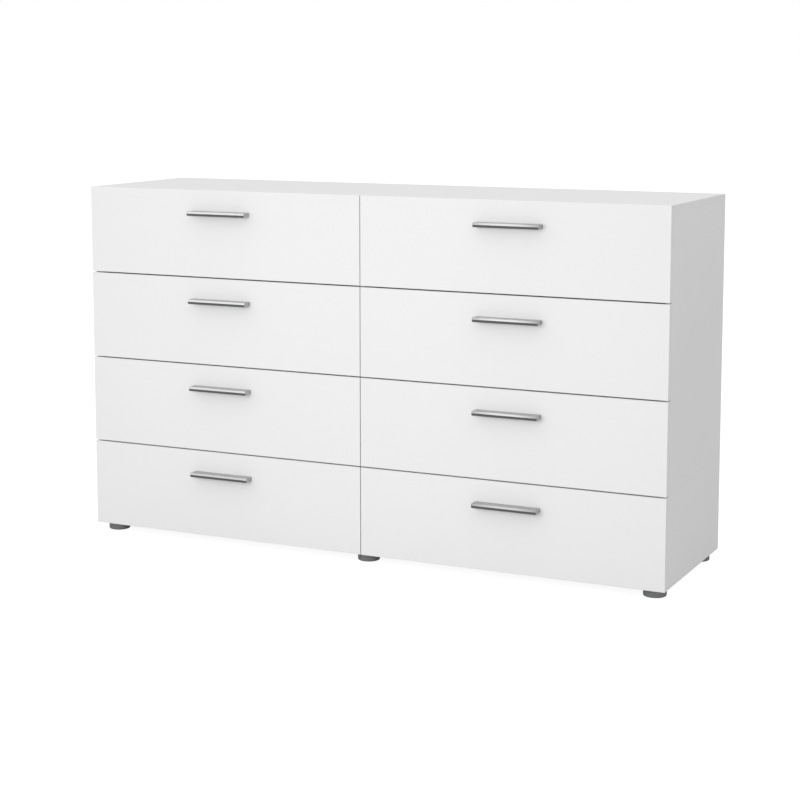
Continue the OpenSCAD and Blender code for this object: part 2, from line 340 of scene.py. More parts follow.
def settled(name):
    """Names the new primitive and puts its place and size into its mesh."""
    piece = bpy.context.active_object
    piece.name = piece.data.name = name
    bpy.ops.object.transform_apply(location=True, rotation=True, scale=True)
    return piece


def block(name, low, high):
    only()
    low, high = Vector(low), Vector(high)
    bpy.ops.mesh.primitive_cube_add(size=1, location=(low + high) / 2, scale=high - low)
    return settled(name)


def rod(name, start, axis, diameter, length, sides=32):
    """A cylinder that starts at a point and runs along an axis; a length may be negative."""
    only()
    centre = Vector(start)
    centre[axis] += length / 2
    turn = {X: (0, math.pi / 2, 0), Y: (math.pi / 2, 0, 0), Z: (0, 0, 0)}[axis]
    bpy.ops.mesh.primitive_cylinder_add(vertices=sides, radius=diameter / 2,
                                        depth=abs(length), location=centre, rotation=turn)
    return settled(name)


@contextmanager
def editing(piece, kind):
    """Edit mode on one piece, with nothing selected at first."""
    only(piece)
    bpy.ops.object.mode_set(mode="EDIT")
    bpy.ops.mesh.select_mode(type=kind)
    bpy.ops.mesh.select_all(action="DESELECT")
    yield
    bpy.ops.object.mode_set(mode="OBJECT")


def pick(piece, kind, test):
    """Selects the faces or edges of the piece being edited whose middle passes the test."""
    bpy.ops.mesh.select_all(action="DESELECT")
    shape = bmesh.from_edit_mesh(piece.data)
    items = {"FACE": shape.faces, "EDGE": shape.edges, "VERT": shape.verts}[kind]
    for item in items:
        points = [item.co] if kind == "VERT" else [v.co for v in item.verts]
        middle = sum(points, Vector()) / len(points)
        item.select_set(bool(test(middle, item)))
    shape.select_flush_mode()
    bmesh.update_edit_mesh(piece.data)


def apply(piece, kind, **settings):
    """Adds a modifier to a piece and applies it."""
    modifier = piece.modifiers.new(kind.title(), kind)
    for key, value in settings.items():
        setattr(modifier, key, value)
    only(piece)
    bpy.ops.object.modifier_apply(modifier=modifier.name)
    return piece


def cut(piece, *tools, operation="DIFFERENCE"):
    """Cuts the tools out of a piece, or welds them on, and removes the tools."""
    tool = joined(tools[0].name, *tools)
    apply(piece, "BOOLEAN", object=tool, operation=operation, solver="EXACT",
          use_self=True)
    bpy.data.objects.remove(tool)
    return piece


def joined(name, *pieces):
    """Joins pieces into one object."""
    only(*pieces)
    if len(pieces) > 1:
        bpy.ops.object.join()
    piece = bpy.context.active_object
    piece.name = piece.data.name = name
    return piece


def soften(piece, width, segments=2, angle=30):
    """Rounds the sharp edges of a piece."""
    apply(piece, "BEVEL", width=width, segments=segments, limit_method="ANGLE",
          angle_limit=math.radians(angle), use_clamp_overlap=True)
    return piece


def shaded(piece, angle=40):
    """Smooth shading that keeps flat faces flat."""
    only(piece)
    bpy.ops.object.shade_smooth_by_angle(angle=math.radians(angle))
    apply(piece, "WEIGHTED_NORMAL", keep_sharp=True, weight=80)
    return piece


def covered(piece, *finishes):
    """Gives a piece its finishes; its faces keep the numbers that they have."""
    for finish in finishes:
        piece.data.materials.append(finish)
    return piece


def copied(piece, name, move=(0, 0, 0), mirror_at=None):
    """A copy with its own mesh, moved, or mirrored left to right at a given x."""
    twin = piece.copy()
    twin.data = piece.data.copy()
    twin.name = twin.data.name = name
    bpy.context.collection.objects.link(twin)
    place = Matrix.Translation(move)
    if mirror_at is not None:
        place = place @ Matrix.Translation((2 * mirror_at, 0, 0)) @ Matrix.Scale(-1, 4, (1, 0, 0))
    twin.data.transform(place)
    if mirror_at is not None:
        twin.data.flip_normals()
    return twin


def placed(piece, body, slot, *nodes):
    """Puts a finished piece on its body and has it stand for its CAD nodes."""
    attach(piece, body)
    if nodes:
        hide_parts(*nodes)
    return piece


# ---------------------------------------------------------------- boards

def board(name, low, high, thick, raw=(), round_by=0.7 * MM, tools=()):
    """A board with rounded, banded edges and drilled seats.

    thick is the axis across the board. raw lists the (axis, sign) of the edges with no band.
    The faces are numbered 0 for the finish of the board's faces, 1 for the band and 2 for raw
    chipboard, which also shows in grooves and seats.
    """
    piece = block(name, low, high)
    with editing(piece, "EDGE"):
        bpy.ops.mesh.select_all(action="SELECT")
        bpy.ops.mesh.bevel(offset=round_by, segments=3, affect="EDGES")
    if tools:
        cut(piece, *tools)
    low, high = Vector(low), Vector(high)
    for face in piece.data.polygons:
        inside = min(min(face.center[a] - low[a], high[a] - face.center[a]) for a in (X, Y, Z))
        along = max((a for a in (X, Y, Z) if a != thick), key=lambda a: abs(face.normal[a]))
        side = (along, 1 if face.normal[along] > 0 else -1)
        if inside > 1.5 * MM:
            face.material_index = 2
        elif abs(face.normal[thick]) > 0.8:
            face.material_index = 0
        elif side in raw:
            face.material_index = 2 if abs(face.normal[along]) > 0.99 else 0
        else:
            face.material_index = 1
    return piece


def cross_recess(at, axis, size, depth):
    """Two thin blocks that cut a cross into a screw head or a cam.

    They reach from the point along the axis by depth, which carries the sign of the way, and
    half as far the other way. The arms are 2/9 as wide as they are long.
    """
    blocks = []
    flat = [a for a in (X, Y, Z) if a != axis]
    reach = abs(depth)
    for long, short in (flat, flat[::-1]):
        low, high = Vector(at), Vector(at)
        low[axis] -= reach / 2 if depth > 0 else reach
        high[axis] += reach if depth > 0 else reach / 2
        low[long] -= size / 2
        high[long] += size / 2
        low[short] -= size / 9
        high[short] += size / 9
        blocks.append(block("recess", low, high))
    return blocks


# ---------------------------------------------------------------- places

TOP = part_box("top_panel")
SIDE = {"left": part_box("left_side_panel"), "right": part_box("right_side_panel")}
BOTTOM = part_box("bottom_panel")
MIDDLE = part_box("centre_partition")
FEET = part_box("feet")
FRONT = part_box("left_drawer_1_front")
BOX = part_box("left_drawer_1_box")

FRONT_Y = FRONT[0].y            # face of the drawer fronts
CARCASS_Y = TOP[0].y            # front edges of the carcass boards
BACK_Y = TOP[1].y               # rear edges of the carcass boards
ROW_STEP = FRONT[0].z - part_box("left_drawer_2_front")[0].z
COLUMN_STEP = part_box("right_drawer_1_box")[0].x - BOX[0].x
BAY = (SIDE["left"][1].x, MIDDLE[0].x)      # inner faces of the boards beside the left bay
RAIL_Z = FRONT[0].z + 20 * MM               # upper face of the lower lips of the top runners
RAIL_Y = CARCASS_Y + 2 * MM
RAIL_L = 350 * MM
STEEL = 1.2 * MM
ROLLER_Y = RAIL_Y + 14 * MM                 # axles of the front rollers
BOX_ROLLER_Y = BOX[1].y - 15 * MM           # axles of the rear rollers, drawer closed
TRAVEL = 260 * MM                           # of a drawer
STOP_Y = BOX_ROLLER_Y - TRAVEL - 11.1 * MM  # just ahead of a rear roller, drawer open
CAM_Y = (CARCASS_Y + 40 * MM, BACK_Y - 60 * MM)
CAM_EDGE = 34 * MM                          # from a cam to the board that it pulls on
BOX_CAM_Y = FRONT[1].y + 24 * MM
BOX_CAM_Z = (45 * MM, 115 * MM)             # above the lower edge of the drawer box
GROOVE_Z = 10 * MM                          # from that edge to the underside of its bottom
BOX_WALL = 12 * MM


def row_drop(row):
    return -(row - 1) * ROW_STEP


# ---------------------------------------------------------------- cam locks and screws

CAM_D, CAM_L = 15 * MM, 12.5 * MM
CAM_SEAT_D, CAM_SEAT_L = 15.4 * MM, 13.7 * MM
BOLT_D, BOLT_L = 6 * MM, 43 * MM
BOLT_HOLE_D, BOLT_HOLE_L = 6.4 * MM, 44.2 * MM
BOLT_DEPTH = 8 * MM                         # from the face that the cam is sunk into
CAM_CROSS = 8 * MM


def cam(name, at, into, bolt):
    """A cam sunk into a face at a point, and its bolt; into and bolt are (axis, sign)."""
    (axis, sign), (run, way) = into, bolt
    body = rod(name, at, axis, CAM_D, sign * CAM_L)
    soften(body, 0.4 * MM)
    start = Vector(at)
    start[axis] += sign * BOLT_DEPTH
    start[run] += way * MM
    shank = rod("bolt", start, run, BOLT_D, way * BOLT_L)
    soften(shank, 0.5 * MM)
    cut(body, *cross_recess(at, axis, CAM_CROSS, -sign * 1.5 * MM))
    return joined(name, body, shank)


def cam_seats(at, into, bolt):
    """What the cam lock cuts out of the boards that it joins."""
    (axis, sign), (run, way) = into, bolt
    open_at, start = Vector(at), Vector(at)
    open_at[axis] -= sign * MM
    start[axis] += sign * BOLT_DEPTH
    return [rod("seat", open_at, axis, CAM_SEAT_D, sign * CAM_SEAT_L),
            rod("seat", start, run, BOLT_HOLE_D, way * BOLT_HOLE_L)]


def carcass_cams():
    """Where the cam locks of the carcass are: (board, board met, point, into, bolt)."""
    found = []
    for y in CAM_Y:
        for side, sign in (("left", -1), ("right", 1)):
            inner = SIDE[side][1 if sign < 0 else 0].x
            found.append((f"{side}_side_panel", "top_panel",
                          (inner, y, TOP[0].z - CAM_EDGE), (X, sign), (Z, 1)))
            found.append(("bottom_panel", f"{side}_side_panel",
                          (inner - sign * CAM_EDGE, y, BOTTOM[1].z), (Z, -1), (X, sign)))
        found.append(("centre_partition", "top_panel",
                      (MIDDLE[1].x, y, TOP[0].z - CAM_EDGE), (X, -1), (Z, 1)))
        found.append(("centre_partition", "bottom_panel",
                      (MIDDLE[1].x, y, BOTTOM[1].z + CAM_EDGE), (X, -1), (Z, -1)))
    return found


def screw(name, at, axis, head, head_t, shank, length, sides=24):
    """A pan-head screw: the head stands on a point, and the shank runs the other way.

    head_t carries the sign of the way that the head points.
    """
    cap = rod(name, at, axis, head, head_t, sides)
    soften(cap, abs(head_t) * 0.45, segments=3)
    top = Vector(at)
    top[axis] += head_t
    cut(cap, *cross_recess(top, axis, head * 0.5, -head_t * 0.55))
    sign = 1 if head_t > 0 else -1
    return joined(name, cap, rod("shank", at, axis, shank, -sign * length, 16))


# ---------------------------------------------------------------- carcass

def carcass_boards():
    cams = carcass_cams()
    raw = {"top_panel": [(Y, 1)], "bottom_panel": [(Y, 1), (X, -1), (X, 1)],
           "left_side_panel": [(Y, 1), (Z, 1)], "right_side_panel": [(Y, 1), (Z, 1)],
           "centre_partition": [(Y, 1), (Z, 1), (Z, -1)]}
    thick = {"top_panel": Z, "bottom_panel": Z}
    for node, edges in raw.items():
        tools = []
        for home, met, at, into, bolt in cams:
            if node in (home, met):
                tools += cam_seats(at, into, bolt)
        low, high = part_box(node)
        piece = board(node + "_board", low, high, thick.get(node, X), edges, tools=tools)
        covered(piece, MELAMINE, BAND, CHIPS)
        placed(piece, "carcass", "white_board", node)


def cam_locks():
    parts = [cam("cam", at, into, bolt) for _, _, at, into, bolt in carcass_cams()]
    piece = covered(shaded(joined("cam_locks", *parts)), ZINC)
    placed(piece, "carcass", "zinc", "cam_fittings")


SHEET_T = 3 * MM                            # of the hardboard


def back_sheets():
    """Hardboard sheets, painted white inside and raw outside, nailed to the rear edges."""
    heads = []
    inset = 7 * MM
    for side in COLUMNS:
        low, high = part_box(f"{side}_back_sheet")
        sheet = block(f"{side}_back_hardboard", low, high)
        with editing(sheet, "EDGE"):
            bpy.ops.mesh.select_all(action="SELECT")
            bpy.ops.mesh.bevel(offset=0.35 * MM, segments=2, affect="EDGES")
        for face in sheet.data.polygons:
            face.material_index = 0 if face.normal.y < -0.9 else 1
        covered(sheet, LACQUER, BROWN)
        placed(sheet, "carcass", "hardboard", f"{side}_back_sheet")
        for x in spaced(low.x + inset, high.x - inset, 8):
            heads += [(x, low.z + inset), (x, high.z - inset)]
        for z in spaced(low.z + inset, high.z - inset, 9)[1:-1]:
            heads += [(low.x + inset, z), (high.x - inset, z)]
    nail = nail_head((0, BACK_Y + SHEET_T, 0))
    nails = [copied(nail, "nail", (x, 0, z)) for x, z in heads]
    bpy.data.objects.remove(nail)
    placed(covered(shaded(joined("back_nails", *nails)), ZINC), "carcass", "zinc")


def spaced(start, end, count):
    """Evenly spaced numbers from start to end."""
    return [start + (end - start) * i / (count - 1) for i in range(count)]


def nail_head(at):
    """A flat wire nail: a thin round head and the shank behind it."""
    head = rod("nail", at, Y, 4.2 * MM, 0.5 * MM, 14)
    with editing(head, "EDGE"):
        pick(head, "EDGE", lambda p, e: p.y > at[1] + 0.4 * MM)
        bpy.ops.mesh.bevel(offset=0.25 * MM, segments=1, affect="EDGES")
    shank = rod("shank", at, Y, 1.4 * MM, -18 * MM, 8)
    return joined("nail", head, shank)


FOOT_D = 50 * MM
SOLE_RING = 38 * MM
SOLE_HUB = 20 * MM
FOOT_BORE, FOOT_BORE_L = 12 * MM, 12 * MM


def round_feet():
    """Six moulded feet: rounded below, with a ring-shaped hollow and ribs in the sole."""
    at = Vector((FEET[0].x + FOOT_D / 2, FEET[0].y + FOOT_D / 2, 0))
    height = FEET[1].z
    foot = rod("foot", at, Z, FOOT_D, height, 64)
    with editing(foot, "EDGE"):
        pick(foot, "EDGE", lambda p, e: p.z < 0.1 * MM)
        bpy.ops.mesh.bevel(offset=2.4 * MM, segments=5, affect="EDGES")
        pick(foot, "EDGE", lambda p, e: p.z > height - 0.1 * MM)
        bpy.ops.mesh.bevel(offset=0.5 * MM, segments=2, affect="EDGES")
    ring = rod("ring", at - Vector((0, 0, MM)), Z, SOLE_RING, 3.2 * MM, 64)
    hub = rod("hub", at - Vector((0, 0, 2 * MM)), Z, SOLE_HUB, 6 * MM, 48)
    cut(ring, hub)
    for turn in (0, 60, 120):
        rib = block("rib", at - Vector((FOOT_D / 2, 1.2 * MM, 2 * MM)),
                    at + Vector((FOOT_D / 2, 1.2 * MM, 4 * MM)))
        rib.data.transform(Matrix.Translation(at) @ Matrix.Rotation(math.radians(turn), 4, "Z")
                           @ Matrix.Translation(-at))
        cut(ring, rib)
    cut(foot, ring)
    cut(foot, rod("bore", at - Vector((0, 0, MM)), Z, FOOT_BORE, FOOT_BORE_L + MM, 48))
    cut(foot, rod("hole", at, Z, 4.3 * MM, height + MM, 24))
    soften(foot, 0.25 * MM, angle=60)
    fixing = screw("screw", at + Vector((0, 0, FOOT_BORE_L)), Z, head=9 * MM, head_t=-3 * MM,
                   shank=4 * MM, length=20 * MM)
    feet, screws = [], []
    for x in spaced(at.x, FEET[1].x - FOOT_D / 2, 3):
        for y in (at.y, FEET[1].y - FOOT_D / 2):
            move = (x - at.x, y - at.y, 0)
            feet.append(copied(foot, "foot", move))
            screws.append(copied(fixing, "screw", move))
    for master in (foot, fixing):
        bpy.data.objects.remove(master)
    placed(covered(shaded(joined("round_feet", *feet)), PLASTIC), "carcass", "foot_plastic",
           "feet")
    placed(covered(shaded(joined("foot_wood_screws", *screws)), ZINC), "carcass", "zinc",
           "foot_screws")


BUFFER_D, BUFFER_T = 8 * MM, 1.3 * MM
BUFFER_DROP = 26 * MM                       # below the upper edge of a front
BUFFER_X = 4.5 * MM                         # on the partition, either side of the middle


def buffers():
    """Clear domed buffers on the front edges of the carcass, two behind each front."""
    dots = []
    dot = rod("dot", (0, CARCASS_Y, 0), Y, BUFFER_D, -BUFFER_T, 24)
    with editing(dot, "EDGE"):
        pick(dot, "EDGE", lambda p, e: p.y < CARCASS_Y - 1.2 * MM)
        bpy.ops.mesh.bevel(offset=0.9 * MM, segments=4, affect="EDGES")
    for side, sign in (("left", -1), ("right", 1)):
        outer = (SIDE[side][0].x + SIDE[side][1].x) / 2
        for row in ROWS:
            z = FRONT[1].z + row_drop(row) - BUFFER_DROP
            for x in (outer, sign * BUFFER_X):
                dots.append(copied(dot, "dot", (x, 0, z)))
    bpy.data.objects.remove(dot)
    placed(covered(shaded(joined("front_buffers", *dots)), RUBBER), "carcass", "roller_nylon")


# ---------------------------------------------------------------- runners

# In millimetres: x from the face of the board, y from the front end of the runner, and z from
# the upper face of the lower lip.
CABINET_PROFILE = ((10.9, -0.6), (0.6, -0.6), (0.6, 24.0), (9.0, 24.0))
CABINET_SLOTS_Y = (60, 92, 188, 284)
CABINET_HOLES_Y = (124, 156, 220, 252, 316)
CABINET_SCREWS_Y = (37, 172, 332)
CABINET_HOLES_Z = 11.5
DRAWER_PROFILE = ((3.2, 22.4), (11.9, 22.4), (11.9, 3.4), (24.5, 3.4))
DRAWER_SLOTS_Y = (46, 110, 174, 238)
ROLLER_X, ROLLER_Z, BOX_ROLLER_Z = 5.6, 11, 10.8
ROLLER_D, ROLLER_W = 21, 8


def bent_steel(name, points, start_y, length):
    """Sheet steel bent along a line of (x, z) points and drawn along +Y."""
    only()
    line = [(BAY[0] + x * MM, RAIL_Z + z * MM) for x, z in points]
    bpy.ops.mesh.primitive_plane_add(size=MM, location=(line[0][0], start_y, line[0][1]))
    piece = settled(name)
    with editing(piece, "VERT"):
        bpy.ops.mesh.select_all(action="SELECT")
        bpy.ops.mesh.merge(type="CENTER")
        for (x0, z0), (x1, z1) in zip(line, line[1:]):
            bpy.ops.mesh.extrude_region_move(
                TRANSFORM_OT_translate={"value": (x1 - x0, 0, z1 - z0)})
        bpy.ops.mesh.select_all(action="SELECT")
        bpy.ops.mesh.extrude_region_move(TRANSFORM_OT_translate={"value": (0, length, 0)})
        bpy.ops.mesh.select_mode(type="EDGE")
        pick(piece, "EDGE", lambda p, e: abs(p.y - start_y - length / 2) < MM and any(
            abs(p.x - x) + abs(p.z - z) < 0.01 * MM for x, z in line[1:-1]))
        bpy.ops.mesh.bevel(offset=1.3 * MM, segments=4, affect="EDGES")
    apply(piece, "SOLIDIFY", thickness=STEEL, offset=0, use_even_offset=True)
    with editing(piece, "FACE"):
        bpy.ops.mesh.select_all(action="SELECT")
        bpy.ops.mesh.normals_make_consistent(inside=False)
    return piece


def slot_tool(at, axis, length, width):
    """A tool that cuts a slot with round ends, running along Y, through steel across an axis."""
    depth, reach = 6 * MM, (length - width) / 2
    ends = []
    for s in (-1, 1):
        start = Vector(at)
        start.y += s * reach
        start[axis] -= depth / 2
        ends.append(rod("end", start, axis, width, depth, 20))
    half = Vector((width / 2, reach, width / 2))
    half[axis] = depth / 2 * 0.98
    body = block("slot", Vector(at) - half, Vector(at) + half)
    return cut(body, *ends, operation="UNION")


def axle(x0, x1, y, z, way):
    """A riveted axle between two x places, with a domed head at its far end."""
    shank = rod("axle", (x0, y, z), X, 5 * MM, x1 - x0, 32)
    head = rod("rivet", (x1, y, z), X, 8 * MM, way * 0.6 * MM, 32)
    with editing(head, "EDGE"):
        pick(head, "EDGE", lambda p, e: way * (p.x - x1) > 0.5 * MM)
        bpy.ops.mesh.bevel(offset=0.35 * MM, segments=2, affect="EDGES")
    return [shank, head]


def cabinet_rail():
    """The runner on the cabinet: a channel whose upper lip starts behind the roller."""
    rail = bent_steel("rail", CABINET_PROFILE, RAIL_Y, RAIL_L)
    x, z = BAY[0], RAIL_Z
    cut(rail, block("notch", (x + 1.3 * MM, RAIL_Y - MM, z + 20 * MM),
                    (x + 14 * MM, RAIL_Y + 40 * MM, z + 27 * MM)))
    hole, hole_z = 4.4 * MM, z + CABINET_HOLES_Z * MM
    for y in CABINET_SLOTS_Y:
        cut(rail, slot_tool((x + STEEL / 2, RAIL_Y + y * MM, hole_z), X, 9 * MM, hole))
    for y in CABINET_HOLES_Y:
        cut(rail, rod("hole", (x - 2 * MM, RAIL_Y + y * MM, hole_z), X, hole, 6 * MM, 20))
    soften(rail, 0.2 * MM, segments=1, angle=50)
    stop = block("stop", (x + 0.6 * MM, STOP_Y - 3 * MM, z - 0.6 * MM),
                 (x + 10.7 * MM, STOP_Y, z + 4 * MM))
    soften(stop, 0.6 * MM)
    return shaded(joined("rail", rail, stop, *axle(x + 0.6 * MM, x + 8.9 * MM, ROLLER_Y,
                                                   z + ROLLER_Z * MM, 1)))


def drawer_rail():
    """The runner on the drawer: a web beside the box, a flange that rides on the roller at
    its top and a shelf under the box at its foot."""
    x, z = BAY[0], RAIL_Z
    start = FRONT[1].y + 2 * MM
    rail = bent_steel("rail", DRAWER_PROFILE, start, BOX[1].y - start)
    web, shelf = DRAWER_PROFILE[2]
    slot = (8 * MM, 4.2 * MM)
    for y in DRAWER_SLOTS_Y:
        cut(rail, slot_tool((x + web * MM, start + y * MM, z + 12 * MM), X, *slot))
        cut(rail, slot_tool((x + 18 * MM, start + (y + 24) * MM, z + shelf * MM), Z, *slot))
    soften(rail, 0.2 * MM, segments=1, angle=50)
    return shaded(joined("rail", rail, *axle(x + web * MM, x + 3.6 * MM, BOX_ROLLER_Y,
                                             z + BOX_ROLLER_Z * MM, -1)))


def nylon_roller():
    """The front roller of a cabinet rail, with a ring-shaped hollow and a riveted eye."""
    x, at = BAY[0], (ROLLER_Y, RAIL_Z + ROLLER_Z * MM)
    half = ROLLER_W / 2
    roller = rod("roller", (x + (ROLLER_X - half) * MM, *at), X, ROLLER_D * MM, ROLLER_W * MM,
                 64)
    with editing(roller, "EDGE"):
        pick(roller, "EDGE",
             lambda p, e: abs(abs(p.x - x - ROLLER_X * MM) - half * MM) < 0.1 * MM)
        bpy.ops.mesh.bevel(offset=0.7 * MM, segments=3, affect="EDGES")
    ring = rod("ring", (x + 8.9 * MM, *at), X, 17 * MM, 2 * MM, 48)
    cut(ring, rod("hub", (x + 8 * MM, *at), X, 11.5 * MM, 4 * MM, 48))
    cut(roller, ring)
    cut(roller, rod("eye", (x + 8.6 * MM, *at), X, 9 * MM, 2 * MM, 48))
    cut(roller, rod("bore", (x, *at), X, 5.1 * MM, 12 * MM, 32))
    return shaded(soften(roller, 0.15 * MM, segments=1, angle=50))


# ---------------------------------------------------------------- drawers

HANDLE_DROP = 48 * MM                       # below the upper edge of the front
HANDLE_OUT = 26 * MM
HANDLE_W, HANDLE_H = 150 * MM, 10 * MM
HANDLE_WALL, HANDLE_ROOF = 3.5 * MM, 2.5 * MM
POST_D, POST_L = 7 * MM, 22.9 * MM
LIP_RIDGE = 4.8 * MM                        # below the top of the handle
LIP_LEAN = 1.2 * MM
HANDLE_SCREW_X = 64 * MM                    # either side of the middle
HANDLE_SCREW_Z = 53.5 * MM                  # below the upper edge of the front


def ledge_handle():
    """The handle: a hollow ledge. Its lip leans back above a ridge and again below it."""
    middle = (FRONT[0].x + FRONT[1].x) / 2
    top, lip, half = FRONT[1].z - HANDLE_DROP, FRONT_Y - HANDLE_OUT, HANDLE_W / 2
    ledge = block("ledge", (middle - half, lip, top - HANDLE_H), (middle + half, FRONT_Y, top))
    with editing(ledge, "VERT"):
        bpy.ops.mesh.select_all(action="SELECT")
        bpy.ops.mesh.bisect(plane_co=(0, 0, top - LIP_RIDGE), plane_no=(0, 0, 1))
        pick(ledge, "VERT", lambda p, v: p.y < lip + 0.1 * MM
             and abs(p.z - top + LIP_RIDGE) > MM)
        bpy.ops.transform.translate(value=(0, LIP_LEAN, 0))
    wall = HANDLE_WALL
    cut(ledge, block("hollow", (middle - half + wall, lip + wall, top - HANDLE_H - 2 * MM),
                     (middle + half - wall, FRONT_Y + MM, top - HANDLE_ROOF)))
    soften(ledge, 0.45 * MM, segments=3, angle=20)
    posts = [rod("post", (middle + s * HANDLE_SCREW_X, FRONT_Y, top - 5.5 * MM), Y, POST_D,
                 -POST_L) for s in (-1, 1)]
    return shaded(cut(ledge, *posts, operation="UNION"), 15)


def handle_screws():
    middle, z = (FRONT[0].x + FRONT[1].x) / 2, FRONT[1].z - HANDLE_SCREW_Z
    screws = [screw("screw", (middle + s * HANDLE_SCREW_X, FRONT[1].y, z), Y, head=8 * MM,
                    head_t=2.5 * MM, shank=4 * MM, length=30 * MM) for s in (-1, 1)]
    return covered(shaded(joined("screws", *screws)), ZINC)


def front_board():
    """A drawer front, with the groove for the bottom and the holes for the handle."""
    low, high = FRONT
    middle, groove_z = (low.x + high.x) / 2, BOX[0].z + GROOVE_Z
    groove = block("groove", (BOX[0].x + 6 * MM, high.y - 6 * MM, groove_z - 0.2 * MM),
                   (BOX[1].x - 6 * MM, high.y + MM, groove_z + 3.2 * MM))
    holes = [rod("hole", (middle + s * HANDLE_SCREW_X, low.y - MM, high.z - HANDLE_SCREW_Z), Y,
                 5 * MM, 18 * MM) for s in (-1, 1)]
    piece = board("front", low, high, Y, round_by=0.5 * MM, tools=[groove] + holes)
    return covered(piece, MELAMINE, BAND, CHIPS)


def box_boards():
    """The two sides, the back and the thin bottom of a drawer box."""
    low, high = BOX
    y0, y1, thick = FRONT[1].y, high.y, BOX_WALL
    floor_z = low.z + GROOVE_Z
    made = {}
    for side, x0, x1 in (("left_side", low.x, low.x + thick),
                         ("right_side", high.x - thick, high.x)):
        outer, inner, way = (x0, x1, 1) if side == "left_side" else (x1, x0, -1)
        groove = block("groove", (inner - 6.1 * MM, y0 - MM, floor_z - 0.1 * MM),
                       (inner + 6.1 * MM, y1 + MM, floor_z + 3.1 * MM))
        seats = [rod("seat", (outer - way * MM, BOX_CAM_Y, low.z + z), X, CAM_SEAT_D,
                     way * 2.2 * MM, 40) for z in BOX_CAM_Z]
        made[side] = board(side, (x0, y0, low.z), (x1, y1, high.z), X, [(Y, -1), (Y, 1)],
                           tools=[groove] + seats)
    made["back"] = board("back", (low.x + thick + 0.1 * MM, y1 - thick, floor_z + 3.1 * MM),
                         (high.x - thick - 0.1 * MM, y1, high.z - 5 * MM), Y,
                         [(X, -1), (X, 1), (Z, -1)], round_by=0.5 * MM)
    for piece in made.values():
        covered(piece, FOIL, FOIL, CHIPS)
    bottom = block("bottom", (low.x + 6.1 * MM, y0 - 5.9 * MM, floor_z),
                   (high.x - 6.1 * MM, y1, floor_z + 3 * MM))
    with editing(bottom, "EDGE"):
        bpy.ops.mesh.select_all(action="SELECT")
        bpy.ops.mesh.bevel(offset=0.3 * MM, segments=2, affect="EDGES")
    for face in bottom.data.polygons:
        face.material_index = 0 if face.normal.z > 0.9 else 1
    made["bottom_sheet"] = covered(bottom, LACQUER, BROWN)
    return made


def box_fittings():
    """Cams that hold the front to the sides, and the screws that hold the back."""
    parts = []
    for x, way in ((BOX[0].x, 1), (BOX[1].x, -1)):
        for z in BOX_CAM_Z:
            at = (x - way * 0.1 * MM, BOX_CAM_Y, BOX[0].z + z)
            disc = rod("cam", at, X, CAM_D, way * MM, 40)
            soften(disc, 0.3 * MM)
            cut(disc, *cross_recess(at, X, CAM_CROSS, -way * 0.9 * MM))
            parts.append(disc)
        for z in (42 * MM, 112 * MM):
            at = (x, BOX[1].y - BOX_WALL / 2, BOX[0].z + z)
            parts.append(screw("screw", at, X, head=7 * MM, head_t=-way * 1.2 * MM,
                               shank=4 * MM, length=40 * MM))
    return covered(shaded(joined("fittings", *parts)), ZINC)


def rail_screws(name, x, y_places, z, head_t):
    """The screws of a runner, in one row."""
    screws = [screw("screw", (x, y, z), X, head=6.6 * MM, head_t=head_t, shank=3.4 * MM,
                    length=11 * MM, sides=20) for y in y_places]
    return covered(shaded(joined(name, *screws)), ZINC)


def both_sides(pieces, name, move):
    """One piece out of left-hand pieces and their mirror images at the far side of the bay."""
    middle = (BAY[0] + BAY[1]) / 2
    near = [copied(piece, "near", move) for piece in pieces]
    far = [copied(piece, "far", move, middle) for piece in pieces]
    return joined(name, *near, *far)


def masters():
    """Every drawer piece, modelled once at the place of the top left drawer."""
    x, z = BAY[0], RAIL_Z
    screws_y = [FRONT[1].y + y * MM for y in (40, 180, 300)]
    cabinet_y = [RAIL_Y + y * MM for y in CABINET_SCREWS_Y]
    roller = nylon_roller()
    back = copied(roller, "back_roller", mirror_at=x + ROLLER_X * MM)
    back.data.transform(Matrix.Translation(
        (1.3 * MM, BOX_ROLLER_Y - ROLLER_Y, (BOX_ROLLER_Z - ROLLER_Z) * MM)))
    return {
        "front": front_board(),
        "handle": covered(ledge_handle(), METAL),
        "handle_screws": handle_screws(),
        "boards": box_boards(),
        "fittings": box_fittings(),
        "rail": covered(drawer_rail(), COAT),
        "rail_screws": rail_screws("rail_screws", x + 11.3 * MM, screws_y, z + 14 * MM,
                                   -1.2 * MM),
        "cabinet_rail": covered(cabinet_rail(), COAT),
        "cabinet_screws": rail_screws("cabinet_screws", x + STEEL, cabinet_y,
                                      z + CABINET_HOLES_Z * MM, 1.2 * MM),
        "cabinet_roller": covered(roller, NYLON),
        "box_roller": covered(back, NYLON),
    }


